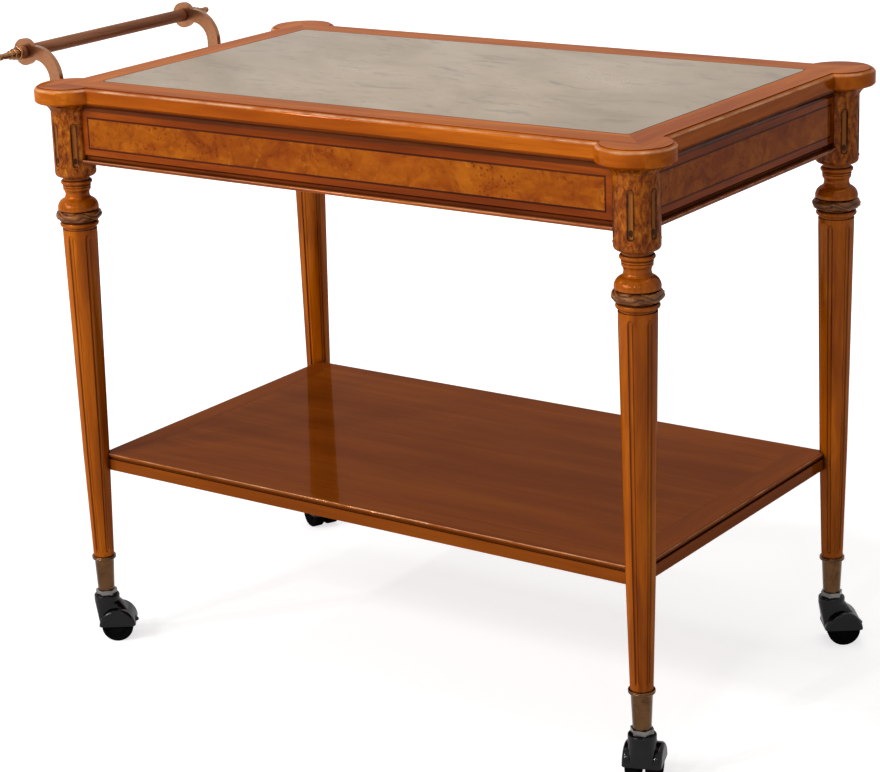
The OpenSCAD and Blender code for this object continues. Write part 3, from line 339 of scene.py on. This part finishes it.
def flute_offset(g, centre, turn, radius):
    """Distance in metres, along the turned surface, from the middle of the nearest flute."""
    about = g.mapped((1, 1, 1), location=(-centre[0] * MM, -centre[1] * MM, 0))
    angle = g.maths("ARCTAN2", g.axis_value(Y, about), g.axis_value(X, about))
    step = 2 * math.pi / FLUTES
    angle = g.maths("ADD", angle, 4 * math.pi + step / 2 - math.radians(turn))
    angle = g.maths("SUBTRACT", g.maths("FLOORED_MODULO", angle, step), step / 2)
    return g.maths("MULTIPLY", g.maths("ABSOLUTE", angle), radius)


def capsule(g, across, height, run):
    """Distance in metres from the straight line that runs up the middle of a flute."""
    low, high = run
    from_middle = g.maths("ABSOLUTE", g.maths("SUBTRACT", height, (low + high) / 2))
    over = g.maths("MAXIMUM", g.maths("SUBTRACT", from_middle, (high - low) / 2), 0.0)
    total = g.maths("ADD", g.maths("MULTIPLY", across, across), g.maths("MULTIPLY", over, over))
    return g.maths("SQRT", total)


def block_burl(g, base):
    """Mottled burl with dark specks, for the block at the head of a leg."""
    mottle = g.grained(g.warped(base, 60.0, 0.006), (170, 170, 84), 5.0, 0.64, 0.25)
    colour = g.ramp(mottle, (0.34, srgb(76, 28, 6)), (0.45, srgb(128, 58, 8)),
                    (0.55, srgb(162, 84, 12)), (0.70, srgb(194, 120, 30)))
    eyes = g.ramp(g.spots(g.warped(base, 120.0, 0.006), 230.0),
                  (0.1, 1.0), (0.34, 0.0), smooth=True)
    clusters = g.ramp(g.noise(base, 42.0, 2.0), (0.50, 0.0), (0.66, 0.75), smooth=True)
    return g.mix(g.maths("MULTIPLY", eyes, clusters), colour, srgb(70, 24, 5))


def fluted(g, colour, leg, height):
    """The colour with pale flutes on the block, a dot of painted shade for a drilled hole, and dark
    rims of painted shade to the flutes on the block and below.
    """
    centre = LEG_CENTRES[leg]
    across = flute_offset(g, centre, BLOCK_FLUTE_TURN[leg], BLOCK_RADIUS)
    groove = capsule(g, across, height, BLOCK_FLUTE_RUN)
    colour = g.mix(g.band(groove, NO_LOWER, FLUTE_HALF_WIDTH, 0.0010), colour, GROOVE_COLOUR)
    # A dot of painted shade where a drilled hole sits at the foot of each flute
    dot = g.band(capsule(g, across, height, DRILLED_RUN), NO_LOWER, FLUTE_HALF_WIDTH, 0.0014)
    colour = g.mix(g.maths("MULTIPLY", dot, 0.9), colour, DRILLED_HOLE_SHADE)
    # Dark rims of painted shade along the edges of the block's flutes
    shaded_rim = g.band(groove, *FLUTE_RIM, 0.0018)
    colour = g.mix(g.maths("MULTIPLY", shaded_rim, 0.9), colour, RIM_SHADE)
    # Dark rims of painted shade along the shaft's flutes
    across = flute_offset(g, centre, SHAFT_FLUTE_TURN, SHAFT_RADIUS)
    run = g.band(height, *SHAFT_FLUTE_RUN, 0.003)
    shaded_rim = g.maths("MULTIPLY", g.band(across, *SHAFT_RIM, 0.0010), run)
    return g.mix(g.maths("MULTIPLY", shaded_rim, 0.65), colour, RIM_SHADE)


def leg_wood(name, light, middle, dark, shift, leg):
    """Cherry along the shaft, mottled burl over the block at the top, dark rims of painted shade to
    the flutes, and painted shade in the recesses.
    """
    g = Graph(name)
    base = g.mapped((1, 1, 1), location=shift)
    bent = g.warped(base, 5.0, 0.03)
    figure = g.grained(bent, (34, 34, 3.0), 3.0)
    streak = g.grained(bent, (190, 190, 7), 4.0, 0.6)
    fibre = g.grained(bent, (900, 900, 30), 2.0)
    height = g.axis_value(Z)
    colour = g.ramp(figure, (0.32, dark), (0.5, middle), (0.7, light))
    colour = g.over(colour, dark, streak, (0.42, 0.0), (0.68, 0.45))
    colour = g.over(colour, dark, fibre, (0.35, 0.2), (0.6, 0.0))
    colour = g.over(colour, block_burl(g, base), height, *BURL_FOOT)
    colour = fluted(g, colour, leg, height)
    # Painted shade laid into the corners and grooves by occlusion
    g.set(Base_Color=g.in_recess(colour, FLECK_AND_SHADE_BROWN, 0.85, 0.016, 0.3, 0.85))
    varnish(g, g.ramp(height, *BULB_COAT), roughness=0.09, sheen=0.10, index=TURNED_INDEX)
    add_varnish_bump(g, fibre)
    return g.material


def carved_wood():
    """Dull olive-brown wood, paler on the crests of the carving as a painted highlight and
    black-brown in its cuts as painted shade.
    """
    g = Graph("carved_wood")
    wear_and_highlight = g.noise(g.warped(g.coord, 90.0, 0.01), 140.0, 4.0, 0.6)
    raised = g.add("ShaderNodeAttribute", attribute_name="carved_height").outputs["Fac"]
    colour = g.ramp(wear_and_highlight, (0.34, srgb(98, 50, 14)), (0.66, srgb(144, 82, 26)))
    # Painted highlight on the crests of the strands, painted shade in the cuts between them and in
    # the corners
    colour = g.over(colour, srgb(176, 118, 60), raised, (0.74, 0.0), (1.0, 0.45), smooth=True)
    colour = g.over(colour, srgb(26, 11, 5), raised, (0.10, 0.97), (0.66, 0.0), smooth=True)
    g.set(Base_Color=g.in_recess(colour, srgb(58, 30, 12), 0.45, 0.006, 0.3, 0.9))
    varnish(g, 0.34, roughness=0.10, sheen=0.12, index=TURNED_INDEX)
    g.set(Normal=g.bump(g.noise(g.coord, 700.0, 3.0), 0.12, 0.0004))
    g.set(Coat_Normal=g.bump(g.noise(g.coord, 420.0, 3.0), 0.12, 0.0006))
    return g.material


# ---- Stone, metal and plastic ----

def marble():
    """Honed beige-grey marble: cloudy, with darker smudges along it and painted shade that darkens
    it towards its ends.
    """
    smudge_colour = srgb(116, 99, 74)
    middle_x = PLAN_SHIFT * MM + 0.03
    g = Graph("stone_marble")
    turned = g.mapped((1, 1, 1), rotation=(0, 0, 0.5))
    cloud = g.grained(g.warped(turned, 3.5, 0.12), (4, 9, 5), 5.0, 0.58, 0.3)
    colour = g.ramp(cloud, (0.30, srgb(152, 128, 97)), (0.50, srgb(170, 145, 112)),
                    (0.72, srgb(184, 158, 126)))
    along = g.warped(g.mapped((1, 1, 1), rotation=(0, 0, 0.12)), 9.0, 0.07)
    for scales, location, low in (((11, 42, 4), (3, 1, 0), 0.55),
                                  ((22, 76, 6), (9, 4, 2), 0.57)):
        smudge = g.grained(along, scales, 5.0, 0.62, location=location)
        colour = g.over(colour, smudge_colour, smudge, (low, 0.0), (low + 0.14, 0.62),
                        smooth=True)
    # Painted shade that darkens the stone towards its ends, standing in for a darker reflection
    ends = g.maths("ABSOLUTE", g.maths("SUBTRACT", g.axis_value(X), middle_x))
    colour = g.over(colour, srgb(120, 97, 70), ends, (0.12, 0.0), (0.40, 0.32), smooth=True)
    grain = g.noise(g.coord, 420.0, 3.0)
    colour = g.over(colour, srgb(112, 98, 80), grain, (0.4, 0.12), (0.6, 0.0))
    g.set(Base_Color=colour, Roughness=g.ramp(cloud, (0.3, 0.34), (0.7, 0.26)),
          Normal=g.bump(g.noise(g.coord, 160.0, 3.0), 0.05, 0.0006),
          Specular_IOR_Level=0.12, Coat_Weight=0.10, Coat_Roughness=0.16)
    return g.material


def metal(name, light, dark, roughness, tarnish, scale=60.0):
    """Metal with a drifting tarnish, dark recesses and fine scratches."""
    g = Graph(name)
    drift = g.noise(g.warped(g.coord, 30.0, 0.02), scale, 5.0, 0.62)
    pits = g.noise(g.coord, scale * 9, 3.0, 0.6)
    colour = g.over(light, dark, drift, (0.42, 0.0), (0.7, tarnish), smooth=True)
    colour = g.over(colour, dark, pits, (0.55, 0.0), (0.75, 0.35))
    scratches = g.grained(g.coord, (900, 900, 900), 2.0)
    g.set(Base_Color=g.in_recess(colour, dark, 1.0, 0.004, 0.3, 0.85), Metallic=1.0,
          Roughness=g.ramp(drift, (0.35, roughness[0]), (0.75, roughness[1])),
          Normal=g.bump(scratches, 0.08, 0.0003))
    return g.material


def plastic(name, colour, dust, roughness, coat):
    """Moulded plastic with a fine grain, scuffs and dust in the corners."""
    g = Graph(name)
    scuff = g.noise(g.warped(g.coord, 40.0, 0.03), 55.0, 6.0, 0.65)
    colour = g.over(colour, dust, scuff, (0.5, 0.0), (0.72, 0.4))
    g.set(Base_Color=g.in_recess(colour, dust, 0.35, 0.004, 0.25, 0.8),
          Roughness=g.ramp(scuff, (0.35, roughness[0]), (0.7, roughness[1])),
          Normal=g.bump(g.noise(g.coord, 1300.0, 2.0), 0.10, 0.0003),
          Specular_IOR_Level=0.0, Coat_Weight=coat, Coat_IOR=1.5, Coat_Roughness=0.10,
          Coat_Normal=g.bump(g.noise(g.coord, 210.0, 2.0), 0.2, 0.0010))
    return g.material


# ---- Materials of the CAD nodes ----

# Light, middle and dark tone of each wood
ORANGE = (srgb(168, 80, 14), srgb(148, 64, 7), srgb(114, 45, 4))
TAN = (srgb(209, 114, 20), srgb(187, 94, 11), srgb(149, 65, 6))
LEG = (srgb(206, 113, 8), srgb(182, 91, 3), srgb(128, 57, 2))
SHELF = (srgb(152, 78, 19), srgb(141, 69, 15), srgb(126, 59, 11))
BURL = (srgb(176, 94, 14), srgb(156, 76, 8), srgb(124, 52, 5))
# The cove's tones are darker than the apron's, as painted shade under the top
SHADED_COVE = (srgb(116, 54, 14), srgb(94, 40, 9), srgb(66, 28, 6))
BEAD = (srgb(178, 92, 24), srgb(158, 76, 16), srgb(118, 50, 8))
BAR = (srgb(188, 130, 96), srgb(164, 108, 78), srgb(112, 70, 48))
LINE = (srgb(98, 42, 14), srgb(80, 32, 9), srgb(58, 22, 6))
PLAIN = (srgb(190, 150, 98), srgb(172, 130, 80), srgb(140, 100, 60))


def dress(material, *nodes):
    """Gives the named CAD nodes a material, with every face in it."""
    for node in nodes:
        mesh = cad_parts[node].data
        mesh.materials.clear()
        mesh.materials.append(material)
        mesh.polygons.foreach_set("material_index", [0] * len(mesh.polygons))


for side, side_name in enumerate(SIDE_NAMES):
    axis = X if side % 2 == 0 else Y
    shift = (0.37 * side, 0.11 * side, 0.05 * side)
    # The rails and the shelf's borders carry a painted highlight along their upper arrises
    dress(wood(f"rail_{side_name}", axis, *TAN, shift=shift, coat=0.20, wear_and_highlight=0.75),
          f"top_rail_{side_name}")
    dress(wood(f"apron_{side_name}", axis, *ORANGE, shift=shift, recess_size=0.016),
          f"apron_{side_name}")
    dress(wood(f"border_{side_name}", axis, *SHELF, shift=shift, coat=0.12, coat_roughness=0.04,
               wear_and_highlight=0.8, waves=0.05), f"shelf_border_{side_name}")
    dress(burl(f"burl_{side_name}", *BURL, shift), f"burl_panel_{side_name}")
for leg, leg_name in enumerate(LEG_NAMES):
    shift = (0.21 * leg, 0.4 * leg, 0.3 * leg)
    dress(leg_wood(f"leg_{leg_name}", *LEG, shift, leg), f"leg_{leg_name}")

dress(wood("shelf_veneer", X, *SHELF, shift=(0.7, 0.2, 0), coat=0.12, coat_roughness=0.035,
           waves=0.035), "shelf_panel")
# The cove is darker wood as painted shade under the top, with strong painted shade in its recesses
dress(wood("shaded_cove_wood", X, *SHADED_COVE, recess_shade=0.95, shift=(0.2, 0.5, 0.1)), "cove_mouldings")
# The bead carries a painted highlight along its upper arris and strong painted shade in its
# recesses
dress(wood("bead_wood", X, *BEAD, recess_shade=0.95, shift=(0.4, 0.1, 0.3), coat=0.5, wear_and_highlight=0.6),
      "bead_mouldings")
carved = carved_wood()
dress(carved, "carved_rings")
dress(wood("bar_wood", Y, *BAR), "handle_bar")
dress(wood("line_wood", X, *LINE, recess_shade=0.5), "stone_line", "panel_lines")
dress(wood("plain_wood", X, *PLAIN, coat=0.0, recess_shade=0.5),
      "backing_board", "corner_blocks", "top_dowels", "shelf_dowels")
dress(marble(), "stone_panel")

dress(metal("copper_brass", srgb(150, 102, 72), srgb(96, 56, 36), (0.24, 0.36), 0.35, 24.0),
      "handle_arm_front", "handle_arm_back", "handle_rosettes")
dress(metal("bright_brass", srgb(134, 92, 58), srgb(72, 44, 28), (0.2, 0.34), 0.5),
      "finial_front", "finial_back")
dress(metal("antique_brass", srgb(92, 64, 42), srgb(42, 27, 18), (0.17, 0.30), 0.6),
      *(f"ferrule_{leg_name}" for leg_name in LEG_NAMES))
dress(metal("zinc", srgb(112, 110, 107), srgb(58, 56, 53), (0.24, 0.4), 0.6),
      "caster_stems", "corner_bolts", "handle_bolts",
      *(f"caster_axle_{leg_name}" for leg_name in LEG_NAMES))
dress(plastic("hood_plastic", srgb(5, 4, 4), srgb(22, 18, 16), (0.2, 0.36), 0.42),
      *(f"caster_hood_{leg_name}" for leg_name in LEG_NAMES))
dress(plastic("wheel_plastic", srgb(18, 18, 18), srgb(36, 34, 30), (0.45, 0.62), 0.0),
      *(f"wheel_{leg_name}_{which}" for leg_name in LEG_NAMES for which in "ab"))


# ---- Carving of the rings: waving strands that run round ----

# Height of the ring's middle and half its own height, the radius of its seat and its outer
# radius, and how far the strands stand out, all in mm
RING_MID, RING_RISE = 574.0, 8.0
RING_SEAT, RING_RADIUS = 21.15, 29.6
RING_RELIEF = 2.0
STRANDS, STRAND_ROWS = 3, 3.3

# Steps round the leg and round the ring's section, and the turn from one leg's ring to the next
TURN_STEPS, SPIN_STEPS = 360, 60
NEXT_RING_TURN = 0.31


def carved_height(turn, share):
    """Height of the carving, 0 to 1: share runs over the ring's face from its foot to its head."""
    drift = 0.42 * math.sin(5 * turn + 3.0 * share) + 0.13 * math.sin(9 * turn + 6.0 * share)
    place = STRAND_ROWS * share + STRANDS * turn / (2 * math.pi) + drift
    across = 2 * (place - math.floor(place)) - 1
    swell = 0.84 + 0.16 * math.sin(7 * turn + 4.0 * share)
    return math.sqrt(max(0.0, 1 - across * across)) * swell


def carved_ring(centre, turned):
    """Points of one ring, section by section round the leg, and the carving's height at each."""
    depth = RING_RADIUS - RING_SEAT - RING_RELIEF
    points, heights = [], []
    for i in range(TURN_STEPS):
        turn = 2 * math.pi * i / TURN_STEPS
        for j in range(SPIN_STEPS):
            spin = 2 * math.pi * j / SPIN_STEPS
            outward = math.cos(spin)
            share = 0.5 + math.asin(math.sin(spin)) / math.pi
            height = carved_height(turn + turned, share)
            swell = RING_RELIEF * height * math.sqrt(max(0.0, outward))
            reach = max(RING_SEAT, RING_SEAT + (depth + swell) * outward)
            lift = (RING_RISE - RING_RELIEF + swell) * math.sin(spin)
            points.append(((centre[X] + reach * math.cos(turn)) * MM,
                           (centre[Y] + reach * math.sin(turn)) * MM,
                           (RING_MID + lift) * MM))
            heights.append(height)
    return points, heights


def ring_faces(first):
    """Faces of one ring whose points start at a number."""
    faces = []
    for i in range(TURN_STEPS):
        a = first + i * SPIN_STEPS
        b = first + (i + 1) % TURN_STEPS * SPIN_STEPS
        for j in range(SPIN_STEPS):
            k = (j + 1) % SPIN_STEPS
            faces.append((a + j, b + j, b + k, a + k))
    return faces


def add_ring_carving():
    points, faces, heights = [], [], []
    for leg, centre in enumerate(LEG_CENTRES):
        faces += ring_faces(len(points))
        ring_points, ring_heights = carved_ring(centre, NEXT_RING_TURN * leg)
        points += ring_points
        heights += ring_heights
    mesh = bpy.data.meshes.new("ring_carving")
    mesh.from_pydata(points, [], faces)
    mesh.validate()
    mesh.attributes.new("carved_height", "FLOAT", "POINT").data.foreach_set("value", heights)
    mesh.polygons.foreach_set("use_smooth", [True] * len(mesh.polygons))
    mesh.materials.append(carved)
    piece = bpy.data.objects.new("ring_carving", mesh)
    bpy.context.scene.collection.objects.link(piece)
    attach(piece, "frame")
    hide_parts("carved_rings")


add_ring_carving()


# ---- Floor, light and camera ----

# Strength of the floor's glow at the trolley, and what it gains with distance in metres
FLOOR_GLOW, FAR_GLOW = 0.71, 0.45
GLOW_REACH = 4.0
FLOOR_HALF_SIZE = 14.0

# Share of the white world that lights rough surfaces
DIFFUSE_WORLD = 0.15

# Middle of the trolley, which the large lamps and the small ones point at
KEY_TARGET = (0, 0, 0.5)
SPARK_TARGET = (0, -0.1, 0.5)

# Small lamps that give the varnish its sharp lights: place in metres, watts
SPARK_SIZE = (0.12, 0.12)
SPARKS = (
    ((-2.2, -2.7, 2.4), 18),
    ((-1.2, -3.3, 2.7), 18),
    ((-0.1, -3.5, 2.2), 18),
    ((1.1, -3.2, 2.4), 8),
    ((2.3, -2.4, 2.3), 3),
    ((-2.7, -1.0, 2.9), 8),
)


def plain_floor():
    """White paper that goes up to pure white away from the trolley, as in a cut-out photo."""
    far = FLOOR_HALF_SIZE
    mesh = bpy.data.meshes.new("floor")
    mesh.from_pydata([(-far, -far, 0), (far, -far, 0), (far, far, 0), (-far, far, 0)], [],
                     [(0, 1, 2, 3)])
    floor = bpy.data.objects.new("floor", mesh)
    bpy.context.scene.collection.objects.link(floor)
    g = Graph("floor_paper")
    grain = g.noise(g.coord, 90.0, 2.0)
    g.set(Base_Color=g.ramp(grain, (0.4, srgb(206, 205, 203)), (0.6, srgb(209, 208, 206))),
          Roughness=0.85, Specular_IOR_Level=0.1)
    away = g.add("ShaderNodeVectorMath", operation="LENGTH")
    g.feed(away.inputs[0], g.coord)
    gain = g.ramp(g.maths("DIVIDE", away.outputs["Value"], GLOW_REACH),
                  (0.16, 0.0), (0.5, FAR_GLOW), smooth=True)
    glow = g.add("ShaderNodeEmission")
    g.feed(glow.inputs["Color"], WHITE)
    g.feed(glow.inputs["Strength"],
           g.maths("MULTIPLY", g.seen_rays(), g.maths("ADD", gain, FLOOR_GLOW)))
    total = g.add("ShaderNodeAddShader")
    g.feed(total.inputs[0], g.shader.outputs[0])
    g.feed(total.inputs[1], glow.outputs[0])
    g.feed(g.out.inputs[0], total.outputs[0])
    mesh.materials.append(g.material)


def white_world():
    """White to the camera and in reflections, dim as a light on rough surfaces."""
    world = bpy.data.worlds.new("studio")
    bpy.context.scene.world = world
    world.use_nodes = True
    tree = Tree(world.node_tree)
    out = tree.add("ShaderNodeOutputWorld")
    back = tree.add("ShaderNodeBackground")
    strength = tree.add("ShaderNodeMix")
    tree.feed(strength.inputs["Factor"], tree.seen_rays())
    tree.feed(strength.inputs["A"], DIFFUSE_WORLD)
    tree.feed(strength.inputs["B"], 1.0)
    tree.feed(back.inputs["Color"], WHITE)
    tree.feed(back.inputs["Strength"], strength.outputs["Result"])
    tree.feed(out.inputs[0], back.outputs[0])


def soft_lamp(name, place, target, size, watts):
    """A rectangular lamp at a place, turned to a target, in metres."""
    data = bpy.data.lights.new(name, "AREA")
    data.shape = "RECTANGLE"
    data.size, data.size_y = size
    data.energy = watts
    lamp = bpy.data.objects.new(name, data)
    lamp.location = place
    lamp.rotation_euler = (Vector(target) - Vector(place)).to_track_quat("-Z", "Y").to_euler()
    bpy.context.scene.collection.objects.link(lamp)


def photo_camera():
    """The photo's camera, solved from the straight edges of the top, aprons, shelf and legs."""
    place = Vector((1726.92 + PLAN_SHIFT, -2479.71, 1293.24)) * MM
    right = Vector((0.799268, 0.599449, -0.042799))
    up = Vector((-0.13338, 0.246378, 0.959952))
    forward = Vector((-0.585987, 0.761551, -0.276876))
    focal_pixels = 2505.76
    principal_x, principal_y = 340.0, 330.0
    data = bpy.data.cameras.new("camera")
    data.sensor_width = 36.0
    data.lens = focal_pixels * data.sensor_width / WIDTH
    data.shift_x = (WIDTH / 2 - principal_x) / WIDTH
    data.shift_y = (principal_y - HEIGHT / 2) / WIDTH
    data.clip_start, data.clip_end = 0.05, 60.0
    camera = bpy.data.objects.new("camera", data)
    turn = Matrix((right, up, -forward)).transposed()
    camera.matrix_world = Matrix.Translation(place) @ turn.to_4x4()
    bpy.context.scene.collection.objects.link(camera)
    bpy.context.scene.camera = camera


plain_floor()
white_world()
soft_lamp("key", (-1.6, -3.4, 2.2), KEY_TARGET, (1.6, 1.4), 56)
soft_lamp("top", (0.1, 0.6, 3.4), KEY_TARGET, (2.6, 1.8), 32)
for number, (place, watts) in enumerate(SPARKS):
    soft_lamp(f"spark_{number}", place, SPARK_TARGET, SPARK_SIZE, watts)
photo_camera()
bpy.context.scene.view_settings.view_transform = "Standard"
